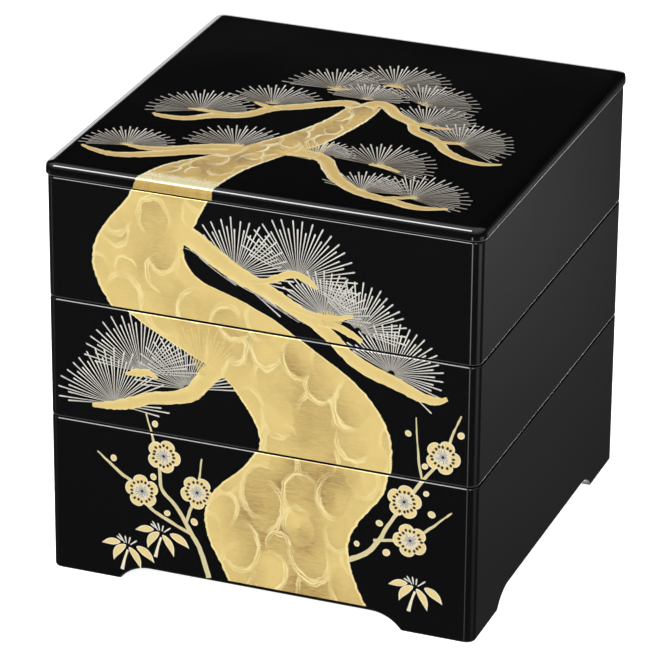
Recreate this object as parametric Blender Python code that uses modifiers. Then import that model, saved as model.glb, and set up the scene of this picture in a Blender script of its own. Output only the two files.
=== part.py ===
"""Tiered food box: three square tiers that stack, and the flat lid that rests on the top one.

Metres, +Z up. The origin is under the middle of the box, on the plane that the four corner feet stand on.
The front looks along -Y. Every tier is an open tray with a locating rib under its floor, which drops into
the mouth of the tier below. The lowest tier has no rib: its walls run down past the floor and are cut away
between the corners, so that four feet are left.
"""

import math

import bmesh
import bpy

# Outer form of a tier
SIDE = 0.195                 # outside width and depth of the tiers
CORNER_RADIUS = 0.0045       # upright outside corners
TIER_HEIGHT = 0.056          # height that each tier adds to the stack
BASE_HEIGHT = 0.0174         # height of the standing base under the lowest tier's floor
REST_GAP = 0.0003            # gap left where one piece rests on the next
EDGE_ROUND = 0.0006          # small rounding on every moulded edge

# Walls and floor
WALL = 0.004                 # side wall of a tier
FLOOR = 0.003                # floor of a tier
INNER_RADIUS = 0.0045        # upright inside corners

# Locating rib under a tier or the lid
RIB_DEPTH = 0.004            # how far a rib drops into the mouth below
RIB_THICKNESS = 0.0025       # thickness of the rib
RIB_CLEARANCE = 0.0005       # play between a rib and the walls around it

# Standing base of the lowest tier
BASE_WALL = 0.005            # wall of the base, which makes the feet
FOOT_LENGTH = 0.0325         # foot, from the box's corner to the start of the cut-out
ARCH_HEIGHT = 0.007          # height of the cut-out between two feet
ARCH_CURVE = 0.014           # length of the curve from a foot up to the cut-out's flat top

# Lid
LID_HEIGHT = 0.0056          # height that the lid adds to the stack
LID_OVERHANG = 0.0009        # how far the lid stands out past the tiers on each side
LID_PLATE = 0.003            # thickness of the lid's top
LID_SLOPE_WIDTH = 0.0046     # width of the gentle slope around the lid's top
LID_SLOPE_DROP = 0.0006      # height lost across that slope

# Fineness of the curved forms
CORNER_STEPS = 6             # flats round a quarter turn of an upright corner
ARCH_STEPS = 8               # flats along one curved end of a cut-out
SLACK = 0.002                # how far a cutter runs on past the face that it opens

LACQUER_BLACK = (0.006, 0.006, 0.007, 1.0)
LACQUER_ROUGHNESS = 0.12

# Heights that follow from the sizes above
FLOOR_OF_BOTTOM = BASE_HEIGHT
FLOOR_OF_MIDDLE = FLOOR_OF_BOTTOM + TIER_HEIGHT
FLOOR_OF_TOP = FLOOR_OF_MIDDLE + TIER_HEIGHT
LID_REST = FLOOR_OF_TOP + TIER_HEIGHT
TOTAL_HEIGHT = LID_REST + LID_HEIGHT


def clear_scene():
    """Start from an empty file."""
    for obj in list(bpy.data.objects):
        bpy.data.objects.remove(obj, do_unlink=True)


def new_collection(name):
    """A collection of the scene."""
    collection = bpy.data.collections.new(name)
    bpy.context.scene.collection.children.link(collection)
    return collection


def lacquered_resin(name):
    """Black glossy lacquer on moulded resin."""
    material = bpy.data.materials.new(name)
    material.use_nodes = True
    shader = material.node_tree.nodes["Principled BSDF"]
    shader.inputs["Base Color"].default_value = LACQUER_BLACK
    shader.inputs["Roughness"].default_value = LACQUER_ROUGHNESS
    shader.inputs["Metallic"].default_value = 0.0
    return material


def rounded_block(name, side, radius, low, high, collection):
    """A square block from height low to height high, with its four upright corners rounded."""
    bm = bmesh.new()
    bmesh.ops.create_cube(bm, size=1.0)
    bmesh.ops.scale(bm, vec=(side, side, high - low), verts=bm.verts)
    bmesh.ops.translate(bm, vec=(0.0, 0.0, (low + high) / 2), verts=bm.verts)
    if radius > 0.0:
        upright = [e for e in bm.edges if abs(e.verts[0].co.z - e.verts[1].co.z) > (high - low) / 2]
        bmesh.ops.bevel(
            bm, geom=upright, offset=radius, offset_type="OFFSET",
            segments=CORNER_STEPS, profile=0.5, affect="EDGES",
        )
    mesh = bpy.data.meshes.new(name)
    bm.to_mesh(mesh)
    bm.free()
    block = bpy.data.objects.new(name, mesh)
    collection.objects.link(block)
    return block


def as_cutter(obj):
    """Mark a shape that only cuts or joins another one."""
    obj.hide_render = True
    obj.display_type = "WIRE"
    return obj


def combine(target, other, operation):
    """Cut a shape out of the target, or join it on."""
    step = target.modifiers.new(operation.capitalize() + " " + other.name, "BOOLEAN")
    step.operation = operation
    step.solver = "EXACT"
    step.object = other


def round_edges(obj):
    """Soften every sharp edge of a moulded piece."""
    step = obj.modifiers.new("Edge rounding", "BEVEL")
    step.width = EDGE_ROUND
    step.segments = 2
    step.limit_method = "ANGLE"
    step.angle_limit = math.radians(50.0)


def finish_piece(obj, material):
    """Give a piece its finish and smooth shading over its rounded corners."""
    obj.data.materials.append(material)
    obj.data.shade_smooth()
    obj.data.set_sharp_from_angle(angle=math.radians(35.0))


def add_locating_rib(piece, seat, hollow_top, cutters):
    """A rib under the seat plane that fits the mouth below, and the shallow hollow inside the rib."""
    mouth = SIDE - 2 * WALL
    rib_side = mouth - 2 * RIB_CLEARANCE
    rib_radius = INNER_RADIUS - RIB_CLEARANCE
    rib = as_cutter(rounded_block(
        piece.name + "_rib", rib_side, rib_radius, seat - RIB_DEPTH, seat + FLOOR / 2, cutters,
    ))
    combine(piece, rib, "UNION")
    hollow = as_cutter(rounded_block(
        piece.name + "_hollow", rib_side - 2 * RIB_THICKNESS, rib_radius - RIB_THICKNESS,
        seat - RIB_DEPTH - SLACK, hollow_top, cutters,
    ))
    combine(piece, hollow, "DIFFERENCE")


def hollow_out(piece, floor_top, rim, cutters):
    """Empty a tier from its floor up through its open mouth."""
    inside = as_cutter(rounded_block(
        piece.name + "_inside", SIDE - 2 * WALL, INNER_RADIUS, floor_top, rim + SLACK, cutters,
    ))
    combine(piece, inside, "DIFFERENCE")


def stacking_tier(name, floor, parts, cutters, material):
    """A tier that sits on the one below: four walls, a floor and a locating rib."""
    rim = floor + TIER_HEIGHT - REST_GAP
    tier = rounded_block(name, SIDE, CORNER_RADIUS, floor, rim, parts)
    add_locating_rib(tier, floor, floor, cutters)
    hollow_out(tier, floor + FLOOR, rim, cutters)
    round_edges(tier)
    finish_piece(tier, material)
    return tier


def arch_outline():
    """The cut-out between two feet, seen from the front, as points around its edge."""
    foot_end = SIDE / 2 - FOOT_LENGTH
    flat_end = foot_end - ARCH_CURVE
    radius = (ARCH_CURVE ** 2 + ARCH_HEIGHT ** 2) / (2 * ARCH_HEIGHT)
    sweep = 2 * math.atan2(ARCH_HEIGHT, ARCH_CURVE)
    curve = []
    for step in range(ARCH_STEPS + 1):
        angle = sweep * (1 - step / ARCH_STEPS)
        curve.append((flat_end + radius * math.sin(angle), ARCH_HEIGHT - radius * (1 - math.cos(angle))))
    right = [(foot_end, -SLACK)] + curve
    left = [(-x, z) for x, z in reversed(right)]
    return right + left


def arch_cutter(name, turn, cutters):
    """The cut-out as a long prism that runs right through the base, turned about the upright axis."""
    outline = bpy.data.curves.new(name, "CURVE")
    outline.dimensions = "2D"
    outline.fill_mode = "BOTH"
    outline.extrude = SIDE / 2 + SLACK
    points = arch_outline()
    spline = outline.splines.new("POLY")
    spline.points.add(len(points) - 1)
    for point, (across, up) in zip(spline.points, points):
        point.co = (across, up, 0.0, 1.0)
    spline.use_cyclic_u = True
    flat = bpy.data.objects.new(name + "_outline", outline)
    cutters.objects.link(flat)
    flat.rotation_euler = (math.radians(90.0), 0.0, turn)
    bpy.context.view_layer.update()

    mesh = bpy.data.meshes.new_from_object(flat.evaluated_get(bpy.context.evaluated_depsgraph_get()))
    bm = bmesh.new()
    bm.from_mesh(mesh)
    bmesh.ops.remove_doubles(bm, verts=bm.verts, dist=0.00001)
    bmesh.ops.recalc_face_normals(bm, faces=bm.faces)
    bm.to_mesh(mesh)
    bm.free()
    cutter = bpy.data.objects.new(name, mesh)
    cutter.matrix_world = flat.matrix_world.copy()
    cutters.objects.link(cutter)
    bpy.data.objects.remove(flat, do_unlink=True)
    return as_cutter(cutter)


def standing_tier(name, parts, cutters, material):
    """The lowest tier: a tray whose walls run on below its floor and end in four corner feet."""
    rim = FLOOR_OF_BOTTOM + TIER_HEIGHT - REST_GAP
    tier = rounded_block(name, SIDE, CORNER_RADIUS, 0.0, rim, parts)
    under = as_cutter(rounded_block(
        name + "_under", SIDE - 2 * BASE_WALL, INNER_RADIUS, -SLACK, FLOOR_OF_BOTTOM, cutters,
    ))
    combine(tier, under, "DIFFERENCE")
    hollow_out(tier, FLOOR_OF_BOTTOM + FLOOR, rim, cutters)
    for side_name, turn in (("front_arches", 0.0), ("side_arches", math.radians(90.0))):
        combine(tier, arch_cutter(side_name, turn, cutters), "DIFFERENCE")
    round_edges(tier)
    finish_piece(tier, material)
    return tier


def soften_lid_top(lid):
    """Give the lid's top its gentle slope: a flat middle, falling a little towards all four edges."""
    bm = bmesh.new()
    bm.from_mesh(lid.data)
    bm.faces.ensure_lookup_table()
    top = max(bm.faces, key=lambda face: face.calc_center_median().z)
    border = bmesh.ops.inset_region(bm, faces=[top], thickness=LID_SLOPE_WIDTH, use_even_offset=True)
    rim = {vert for face in border["faces"] for vert in face.verts} - set(top.verts)
    bmesh.ops.translate(bm, vec=(0.0, 0.0, -LID_SLOPE_DROP), verts=list(rim))
    bm.to_mesh(lid.data)
    bm.free()


def resting_lid(name, parts, cutters, material):
    """The lid: a flat cap, a little wider than the tiers, with a locating rib below."""
    lid = rounded_block(
        name, SIDE + 2 * LID_OVERHANG, CORNER_RADIUS + LID_OVERHANG, LID_REST, TOTAL_HEIGHT, parts,
    )
    soften_lid_top(lid)
    add_locating_rib(lid, LID_REST, TOTAL_HEIGHT - LID_PLATE, cutters)
    round_edges(lid)
    finish_piece(lid, material)
    return lid


def build():
    """Make the whole box."""
    clear_scene()
    parts = new_collection("tiered_food_box")
    cutters = new_collection("cutters")
    standing_tier("bottom_tier", parts, cutters, lacquered_resin("bottom_tier_lacquer"))
    stacking_tier("middle_tier", FLOOR_OF_MIDDLE, parts, cutters, lacquered_resin("middle_tier_lacquer"))
    stacking_tier("top_tier", FLOOR_OF_TOP, parts, cutters, lacquered_resin("top_tier_lacquer"))
    resting_lid("lid", parts, cutters, lacquered_resin("lid_lacquer"))


build()
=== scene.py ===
# %% [markdown]
# # A tiered food box in black lacquer
# The box is three square trays and a flat lid. Each is moulded in resin, sprayed with glossy black
# lacquer, and printed in gold and silver with an old pine that grows over the stacked fronts and on over
# the lid, with plum blossom and bamboo grass at its foot.
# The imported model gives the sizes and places. This script makes the surfaces that the eye reads: soft
# edges, gloss, and the picture, which is laid on as thin inks, one over the other, as a printer would.

# %% Load the frame
import math
import random

import bmesh
import bpy
from mathutils import Matrix, Vector, noise


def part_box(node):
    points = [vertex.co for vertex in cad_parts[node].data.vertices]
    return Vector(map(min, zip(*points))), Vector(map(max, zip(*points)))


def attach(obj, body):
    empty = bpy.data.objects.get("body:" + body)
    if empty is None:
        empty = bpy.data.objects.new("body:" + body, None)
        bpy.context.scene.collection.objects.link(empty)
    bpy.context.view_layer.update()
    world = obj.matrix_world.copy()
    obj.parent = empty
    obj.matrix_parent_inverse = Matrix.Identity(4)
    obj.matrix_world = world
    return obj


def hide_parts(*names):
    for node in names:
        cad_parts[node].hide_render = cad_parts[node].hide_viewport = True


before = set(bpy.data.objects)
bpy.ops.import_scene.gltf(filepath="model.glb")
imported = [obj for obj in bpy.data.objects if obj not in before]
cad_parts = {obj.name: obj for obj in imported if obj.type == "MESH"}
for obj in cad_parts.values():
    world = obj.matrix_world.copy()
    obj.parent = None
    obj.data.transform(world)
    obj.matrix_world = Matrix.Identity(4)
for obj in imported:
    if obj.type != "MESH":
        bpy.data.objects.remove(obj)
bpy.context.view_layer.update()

MM = 0.001

# %% [markdown]
# ## Small helpers
# Operators work on whatever is selected, so every new piece starts with nothing selected. Colours are
# written as the hex values that a paint maker gives, and one function turns them into the linear values
# that a shader needs. A modifier could be left live, but an applied one leaves a plain mesh, whose points
# can be measured and painted.

# %% Helpers for selection, modifiers, colour and nodes
def select_only(obj):
    """Make this object the only selected one, and the active one."""
    bpy.ops.object.select_all(action="DESELECT")
    obj.select_set(True)
    bpy.context.view_layer.objects.active = obj


def apply_step(obj, name, kind, **settings):
    """Add a modifier with its settings, and apply it."""
    select_only(obj)
    step = obj.modifiers.new(name, kind)
    for setting, value in settings.items():
        setattr(step, setting, value)
    bpy.ops.object.modifier_apply(modifier=step.name)


def linear(hex_colour):
    """sRGB hex to the linear colour of a shader socket."""
    parts = [int(hex_colour[i:i + 2], 16) / 255 for i in (1, 3, 5)]
    bent = [c / 12.92 if c <= 0.04045 else ((c + 0.055) / 1.055) ** 2.4 for c in parts]
    return (*bent, 1.0)


def fill(node, values):
    """Link or fill a node's inputs."""
    for socket, value in values.items():
        if isinstance(value, bpy.types.NodeSocket):
            node.id_data.links.new(value, node.inputs[socket])
        else:
            node.inputs[socket].default_value = value


def add_node(tree, kind, values=None, **settings):
    """Add a node, set its properties, and link or fill its inputs."""
    node = tree.nodes.new(kind)
    for name, value in settings.items():
        setattr(node, name, value)
    fill(node, values or {})
    return node


def new_material(name):
    """A material with its shader and output, and the shader's tree."""
    material = bpy.data.materials.new(name)
    material.use_nodes = True
    tree = material.node_tree
    return material, tree, tree.nodes["Principled BSDF"]


print("the middle grey #808080 is", round(linear("#808080")[0], 3), "in linear light")

# %% [markdown]
# ## Camera
# The photograph looks at the front from the right and from above, with a long lens. A camera can be
# placed by eye, but these angles were solved from the box's corners, seams and feet, so the made picture
# can be laid over the photograph. A small roll is left in, because the uprights lean by half a degree.

# %% Camera
VIEW_TURN = math.radians(20.84)
VIEW_DROP = math.radians(24.51)
VIEW_ROLL = math.radians(0.45)
VIEW_DISTANCE = 1.961
VIEW_TARGET = Vector((-0.0072, 0.0, 0.0894))
LENS_MM = 245.1
SENSOR_MM = 36.0

away = Vector((
    math.sin(VIEW_TURN) * math.cos(VIEW_DROP),
    -math.cos(VIEW_TURN) * math.cos(VIEW_DROP),
    math.sin(VIEW_DROP),
))
level = Vector((math.cos(VIEW_TURN), math.sin(VIEW_TURN), 0.0))
upright = away.cross(level)
side = level * math.cos(VIEW_ROLL) + upright * math.sin(VIEW_ROLL)
upright = away.cross(side)
turn = Matrix((side, upright, away)).transposed()
bpy.ops.object.camera_add(location=VIEW_TARGET + away * VIEW_DISTANCE, rotation=turn.to_euler())
camera = bpy.context.object
camera.name = "camera"
camera.data.sensor_width = SENSOR_MM
camera.data.lens = LENS_MM
bpy.context.scene.camera = camera
print("camera at", [round(c, 3) for c in camera.location], "lens", LENS_MM)

# %% [markdown]
# ## Floor, light and what the gloss mirrors
# Black lacquer has almost no colour of its own: it shows what stands around it. Painting highlights on
# would slide off in the next view, so the studio is built instead, as a world whose brightness depends on
# direction alone. A bright table lies below, a bright white backdrop stands behind, the air over it is
# dark, and one strong strip light hangs overhead, a little to the left, which draws the white line along
# the front edges. A low light behind the box draws the fine grey line along the lower edges on the right.
# The floor is white paper that glows a little, so it stays white under the feet. The gloss looks past it,
# or the whole front would turn grey.

# %% Floor
PAPER_SIZE = 12.0
PAPER_DROP = 0.0001          # the paper lies this much under the feet, so that no two faces share a plane
bpy.ops.object.select_all(action="DESELECT")
bpy.ops.mesh.primitive_plane_add(size=PAPER_SIZE, location=(0.0, 0.0, -PAPER_DROP))
floor = bpy.context.object
floor.name = "floor"
floor.visible_glossy = False
paper, _, paper_shader = new_material("white_paper_floor")
fill(paper_shader, {
    "Base Color": linear("#FBFBFA"), "Roughness": 0.9, "Specular IOR Level": 0.0,
    "Emission Color": linear("#FFFFFF"), "Emission Strength": 0.92,
})
floor.data.materials.append(paper)
print("paper floor,", PAPER_SIZE, "m square")

# %% Directions in the studio
world = bpy.data.worlds.new("studio")
bpy.context.scene.world = world
world.use_nodes = True
sky = world.node_tree
sky.nodes.clear()
direction = add_node(sky, "ShaderNodeTexCoord")
axes = add_node(sky, "ShaderNodeSeparateXYZ", {"Vector": direction.outputs["Generated"]})
ACROSS, DEEP, UP = (axes.outputs[name] for name in "XYZ")


def angle_of(rise, run):
    """The angle of a direction in one plane, in degrees."""
    angle = add_node(sky, "ShaderNodeMath", {0: rise, 1: run}, operation="ARCTAN2")
    return add_node(sky, "ShaderNodeMath", {0: angle.outputs[0]}, operation="DEGREES").outputs[0]


TURN = angle_of(DEEP, ACROSS)       # round the box: -90 in front, 0 on the right, 90 behind
OVER = angle_of(UP, DEEP)           # over the box: 0 behind, 90 overhead, 180 in front
STRONGEST = 20.0                    # a ramp stores brightness as a share of this


def light_along(value, stops, strongest=STRONGEST):
    """Brightness that follows a value: pairs of (value, light), the end pairs holding on beyond."""
    low, high = stops[0][0], stops[-1][0]
    share = add_node(sky, "ShaderNodeMapRange", {"Value": value, "From Min": low, "From Max": high})
    ramp = add_node(sky, "ShaderNodeValToRGB", {"Fac": share.outputs["Result"]})
    # A new ramp has two marks: the first is used again, and the second goes
    marks = ramp.color_ramp.elements
    marks.remove(marks[1])
    for number, (place, light) in enumerate(stops):
        mark = marks.new((place - low) / (high - low)) if number else marks[0]
        mark.color = (light / strongest,) * 3 + (1.0,)
    return ramp.outputs["Color"]


print("directions read by", len(sky.nodes), "nodes")

# %% [markdown]
# ### Cards, backdrop and strip light
# A photographer of glossy things stands white cards and long lights around them, and looks for their
# mirror images. Each one could be a glowing plane, but planes shade each other and the floor. Here each
# is a window in the world: a brightness along one direction, cut off by a second one. The pairs below
# are (direction, light), with turns in degrees and with UP and ACROSS running from -1 to 1.

# %% Surroundings
TABLE_AND_AIR = (
    (-1.00, 0.75), (-0.57, 0.75), (-0.51, 0.06), (-0.47, 0.04), (-0.40, 0.055), (-0.33, 0.04), (0.30, 0.01),
    (0.52, 0.01), (0.59, 0.15), (0.66, 0.50), (0.80, 0.55), (1.00, 0.55),
)
BACKDROP = (
    (-180, 0.3), (30, 0.3), (48, 0.0), (70, 0.0), (84, 0.5), (100, 2.8), (111, 2.8), (115, 2.2), (135, 2.2),
    (165, 0.3),
)
BACKDROP_HEIGHT = ((-0.14, 0.0), (-0.06, 1.0), (0.28, 1.0), (0.305, 0.0))
CARDS = (
    (-165, 0.0), (-156, 0.5), (-147, 0.0), (-101, 0.0), (-96, 3.6), (-92, 3.6), (-87, 0.0), (-32, 0.0),
    (-18, 0.6), (6, 0.6), (18, 0.0), (60, 0.0), (66, 0.20), (70.5, 0.20), (74, 0.0),
)
CARDS_HEIGHT = (
    (-1.0, 0.0), (-0.50, 0.1), (-0.46, 0.18), (-0.43, 0.35), (-0.39, 0.9), (-0.36, 1.0), (-0.30, 0.0),
)
STRIP_LIGHT = ((-0.43, 0.0), (-0.39, 13.0), (-0.27, 13.0), (-0.23, 0.0))
STRIP_LENGTH = ((80, 0.0), (89, 1.0), (111, 1.0), (117, 0.0))
LOW_LIGHT = ((80, 0.0), (86, 5.0), (100, 5.0), (106, 0.0))
LOW_LIGHT_HEIGHT = ((-0.62, 0.0), (-0.58, 1.0), (-0.46, 1.0), (-0.44, 0.0))
light = light_along(UP, TABLE_AND_AIR)
for value, stops, window_value, window in (
    (TURN, BACKDROP, UP, BACKDROP_HEIGHT),
    (TURN, CARDS, UP, CARDS_HEIGHT),
    (ACROSS, STRIP_LIGHT, OVER, STRIP_LENGTH),
    (TURN, LOW_LIGHT, UP, LOW_LIGHT_HEIGHT),
):
    shape = light_along(value, stops)
    cut = light_along(window_value, window, 1.0)
    both = add_node(sky, "ShaderNodeMath", {0: shape, 1: cut, 2: light}, operation="MULTIPLY_ADD")
    light = both.outputs[0]
glow = add_node(sky, "ShaderNodeBackground", {"Color": light, "Strength": STRONGEST})
add_node(sky, "ShaderNodeOutputWorld", {"Surface": glow.outputs["Background"]})
print("studio built from", len(sky.nodes), "nodes")

# %% Soft boxes
BOX_MIDDLE = Vector((0.0, 0.0, 0.09))


def soft_box(name, place, size, power):
    """A square studio light that faces the middle of the box."""
    way = BOX_MIDDLE - Vector(place)
    bpy.ops.object.light_add(type="AREA", location=place)
    lamp = bpy.context.object
    lamp.name = name
    lamp.data.size = size
    lamp.data.energy = power
    lamp.rotation_euler = way.to_track_quat("-Z", "Y").to_euler()
    print(name, power, "W from", round(way.length, 2), "m")


soft_box("key_light", (-0.66, -1.62, 1.1), 0.9, 25.0)
soft_box("fill_light", (0.8, -1.45, 1.2), 0.8, 7.0)
bpy.context.scene.view_settings.view_transform = "Standard"

# %% [markdown]
# ## Black lacquer
# Urethane lacquer sprayed over moulded resin: almost black, a clear gloss on top, and a very slight
# ripple that a sprayed coat keeps, called orange peel. Its cells are about 3 mm wide and a few
# thousandths of a millimetre high. A mesh would need a million faces to carry that, so a bump in the
# shader tilts the mirrored light instead. The roughness drifts a little, as on a box that has been wiped.

# %% Lacquer
def uneven_gloss(tree, place, cell, detail, low, high):
    """Roughness that drifts between two values, in patches of about one size."""
    patches = add_node(tree, "ShaderNodeTexNoise", {"Vector": place, "Scale": 1 / cell, "Detail": detail})
    drift = add_node(tree, "ShaderNodeMapRange", {
        "Value": patches.outputs["Fac"], "To Min": low, "To Max": high,
    })
    return drift.outputs["Result"]


def black_lacquer():
    """Glossy black urethane lacquer, sprayed."""
    material, tree, shader = new_material("black_urethane_lacquer")
    place = add_node(tree, "ShaderNodeTexCoord").outputs["Object"]
    peel = add_node(tree, "ShaderNodeTexNoise", {"Vector": place, "Scale": 1 / (3.0 * MM), "Detail": 1.0})
    ripple = add_node(tree, "ShaderNodeBump", {
        "Height": peel.outputs["Fac"], "Strength": 0.02, "Distance": 0.02 * MM,
    })
    wiped = uneven_gloss(tree, place, 40.0 * MM, 3.0, 0.045, 0.085)
    fill(shader, {
        "Normal": ripple.outputs["Normal"], "Roughness": wiped,
        "Base Color": linear("#030304"), "IOR": 1.55, "Specular IOR Level": 0.85,
    })
    return material


LACQUER = black_lacquer()
print(LACQUER.name, "of", len(LACQUER.node_tree.nodes), "nodes")

# %% [markdown]
# ## The moulded pieces
# All four pieces start as a cube with its upright edges bevelled. Trays are emptied by cutting a smaller
# block out of them. Walls could also be drawn up from a floor, but a cut leaves the same thickness all
# round by itself. A fine bevel softens every edge, because the thin lines of light along the seams come
# from those soft edges. Weighted normals keep the large faces flat, so they mirror without a swirl. The
# visible surface stands 0.08 mm inside the solid's, which leaves room for the inks.

# %% Sizes read from the frame
lid_low, lid_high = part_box("lid")
top_low, top_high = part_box("top_tier")
middle_low, middle_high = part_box("middle_tier")
_, bottom_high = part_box("bottom_tier")

INK_ROOM = 0.08 * MM
RIB_DEPTH = 4.0 * MM
WALL = 4.0 * MM
FLOOR = 3.0 * MM
RIB_THICKNESS = 2.5 * MM
RIB_PLAY = 0.5 * MM
CORNER = 4.5 * MM            # upright outside corners
CORNER_STEPS = 10
INNER_CORNER = 4.5 * MM
EDGE = 0.7 * MM              # soft rounding of every other edge
EDGE_STEPS = 6
BASE_WALL = 5.0 * MM
BASE_HEIGHT = 17.4 * MM
FOOT_LENGTH = 32.5 * MM
ARCH_HEIGHT = 7.0 * MM
ARCH_CURVE = 14.0 * MM
LID_PLATE = 3.0 * MM
LID_OVERHANG = 0.9 * MM      # how far the lid stands out past the trays
SEAM_SHADOW = 0.25 * MM      # the trays' rims stand this much lower here, or the dark seams would be lost

SIDE = top_high.x - top_low.x
LID_SIDE = lid_high.x - lid_low.x
SEAMS = {
    "bottom_tier": (0.0, bottom_high.z - SEAM_SHADOW),
    "middle_tier": (middle_low.z + RIB_DEPTH, middle_high.z - SEAM_SHADOW),
    "top_tier": (top_low.z + RIB_DEPTH, top_high.z - SEAM_SHADOW),
    "lid": (lid_low.z + RIB_DEPTH, lid_high.z),
}
for piece_name, (low, high) in SEAMS.items():
    print(piece_name, "from", round(low / MM, 2), "to", round(high / MM, 2), "mm")

# %% Blocks, cuts and edges
def edit_only(obj, kind, chosen):
    """Enter edit mode with only the faces or edges selected that pass a test."""
    select_only(obj)
    bpy.ops.object.mode_set(mode="EDIT")
    bpy.ops.mesh.select_mode(type=kind)
    bpy.ops.mesh.select_all(action="DESELECT")
    bpy.ops.object.mode_set(mode="OBJECT")
    for item in obj.data.polygons if kind == "FACE" else obj.data.edges:
        item.select = chosen(item)
    bpy.ops.object.mode_set(mode="EDIT")


def rounded_block(name, side, radius, low, high):
    """A square block between two heights, its four upright edges rounded in edit mode."""
    bpy.ops.object.select_all(action="DESELECT")
    bpy.ops.mesh.primitive_cube_add(size=1.0, location=(0.0, 0.0, (low + high) / 2))
    block = bpy.context.object
    block.name = name
    block.scale = (side, side, high - low)
    bpy.ops.object.transform_apply(location=True, rotation=True, scale=True)
    points = block.data.vertices

    def is_upright(edge):
        """Whether an edge runs from the bottom to the top."""
        a, b = edge.vertices
        return abs(points[a].co.z - points[b].co.z) > (high - low) / 2

    edit_only(block, "EDGE", is_upright)
    bpy.ops.mesh.bevel(offset=radius, segments=CORNER_STEPS, affect="EDGES")
    bpy.ops.object.mode_set(mode="OBJECT")
    return block


def combine(piece, tool, operation):
    """Join the tool on, or cut it away, then delete it."""
    apply_step(piece, operation, "BOOLEAN", operation=operation, solver="EXACT", object=tool)
    bpy.data.objects.remove(tool, do_unlink=True)


def cut_block(piece, side, radius, low, high):
    """Cut a rounded block out of a piece."""
    combine(piece, rounded_block("cutter", side, radius, low, high), "DIFFERENCE")


def smooth_flats(piece):
    """Shade round parts smoothly and weigh the normals, so that flat faces stay flat."""
    select_only(piece)
    bpy.ops.object.shade_smooth_by_angle(angle=math.radians(40.0))
    apply_step(piece, "flat faces", "WEIGHTED_NORMAL", keep_sharp=True)


def soften(piece):
    """Round all sharp edges."""
    apply_step(
        piece, "edges", "BEVEL", width=EDGE, segments=EDGE_STEPS, limit_method="ANGLE",
        angle_limit=math.radians(50.0),
    )
    smooth_flats(piece)


def settle(piece, material, node=None):
    """Give a piece its material and its place on the body, and hide the imported part that it stands for."""
    piece.data.materials.clear()
    piece.data.materials.append(material)
    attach(piece, "root")
    if node:
        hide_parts(node)
    print(piece.name, len(piece.data.polygons), "faces")


def add_rib(piece, seat, ceiling):
    """The locating rib that drops into the mouth below, hollow inside."""
    side = SIDE - 2 * WALL - 2 * RIB_PLAY
    corner = INNER_CORNER - RIB_PLAY
    combine(piece, rounded_block("rib", side, corner, seat - RIB_DEPTH, seat + FLOOR / 2), "UNION")
    cut_block(piece, side - 2 * RIB_THICKNESS, corner - RIB_THICKNESS, seat - 2 * RIB_DEPTH, ceiling)

# %% [markdown]
# ### Trays
# The middle and the top tray are the same piece: a block, a rib below that keeps it from sliding off,
# and the inside cut out. The second one could be a moved copy of the first, but each stands for its own
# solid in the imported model, so one function makes both, each at its own height.

# %% Middle and top tier
def stacking_tier(name):
    """A tray that rests on the one below it."""
    low, rim = SEAMS[name]
    tier = rounded_block(name + "_shell", SIDE - 2 * INK_ROOM, CORNER, low, rim)
    add_rib(tier, low, low)
    cut_block(tier, SIDE - 2 * WALL, INNER_CORNER, low + FLOOR, rim + WALL)
    soften(tier)
    settle(tier, LACQUER, name)


stacking_tier("middle_tier")
stacking_tier("top_tier")

# %% [markdown]
# ### Bottom tray and its feet
# The walls of the lowest tray run on past its floor. On every side a long low arch is cut away, and what
# is left at the corners are the feet. Feet could be modelled one by one and joined on, but a moulded
# base is one piece, so the arch is cut instead: it is drawn as a flat outline, a straight top and a
# curve down to each foot, then pushed through the whole box, once each way.

# %% Bottom tier
ARCH_STEPS = 14
DIP = 2.0 * MM               # how far the arch's outline runs on below the ground


def arch_block(quarter_turn):
    """The long prism that cuts both arches of two opposite sides."""
    foot_end = SIDE / 2 - FOOT_LENGTH
    flat_end = foot_end - ARCH_CURVE
    radius = (ARCH_CURVE ** 2 + ARCH_HEIGHT ** 2) / (2 * ARCH_HEIGHT)
    sweep = 2 * math.atan2(ARCH_HEIGHT, ARCH_CURVE)
    arc = []
    for step in range(ARCH_STEPS + 1):
        angle = sweep * (1 - step / ARCH_STEPS)
        arc.append((flat_end + radius * math.sin(angle), ARCH_HEIGHT - radius * (1 - math.cos(angle))))
    (x0, z0), (x1, z1) = arc[:2]
    start = (x0 + (x0 - x1) * DIP / (z1 - z0), z0 - DIP)
    outline = [start] + arc[1:]
    outline += [(-x, z) for x, z in reversed(outline)]
    bpy.ops.object.select_all(action="DESELECT")
    bpy.ops.mesh.primitive_circle_add(vertices=len(outline), radius=SIDE, fill_type="NGON")
    prism = bpy.context.object
    for vertex, (x, z) in zip(prism.data.vertices, outline):
        vertex.co = (x, -SIDE, z)
    bpy.ops.object.mode_set(mode="EDIT")
    bpy.ops.mesh.select_all(action="SELECT")
    bpy.ops.mesh.extrude_region_move(TRANSFORM_OT_translate={"value": (0.0, 2 * SIDE, 0.0)})
    bpy.ops.mesh.select_all(action="SELECT")
    bpy.ops.mesh.normals_make_consistent(inside=False)
    bpy.ops.object.mode_set(mode="OBJECT")
    prism.rotation_euler.z = quarter_turn * math.pi / 2
    bpy.ops.object.transform_apply(location=True, rotation=True, scale=True)
    return prism


def standing_tier():
    """The lowest tray, on its four corner feet."""
    rim = SEAMS["bottom_tier"][1]
    tier = rounded_block("bottom_tier_shell", SIDE - 2 * INK_ROOM, CORNER, 0.0, rim)
    cut_block(tier, SIDE - 2 * BASE_WALL, INNER_CORNER, -WALL, BASE_HEIGHT)
    cut_block(tier, SIDE - 2 * WALL, INNER_CORNER, BASE_HEIGHT + FLOOR, rim + WALL)
    for quarter_turn in (0, 1):
        combine(tier, arch_block(quarter_turn), "DIFFERENCE")
    soften(tier)
    settle(tier, LACQUER, "bottom_tier")


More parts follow.
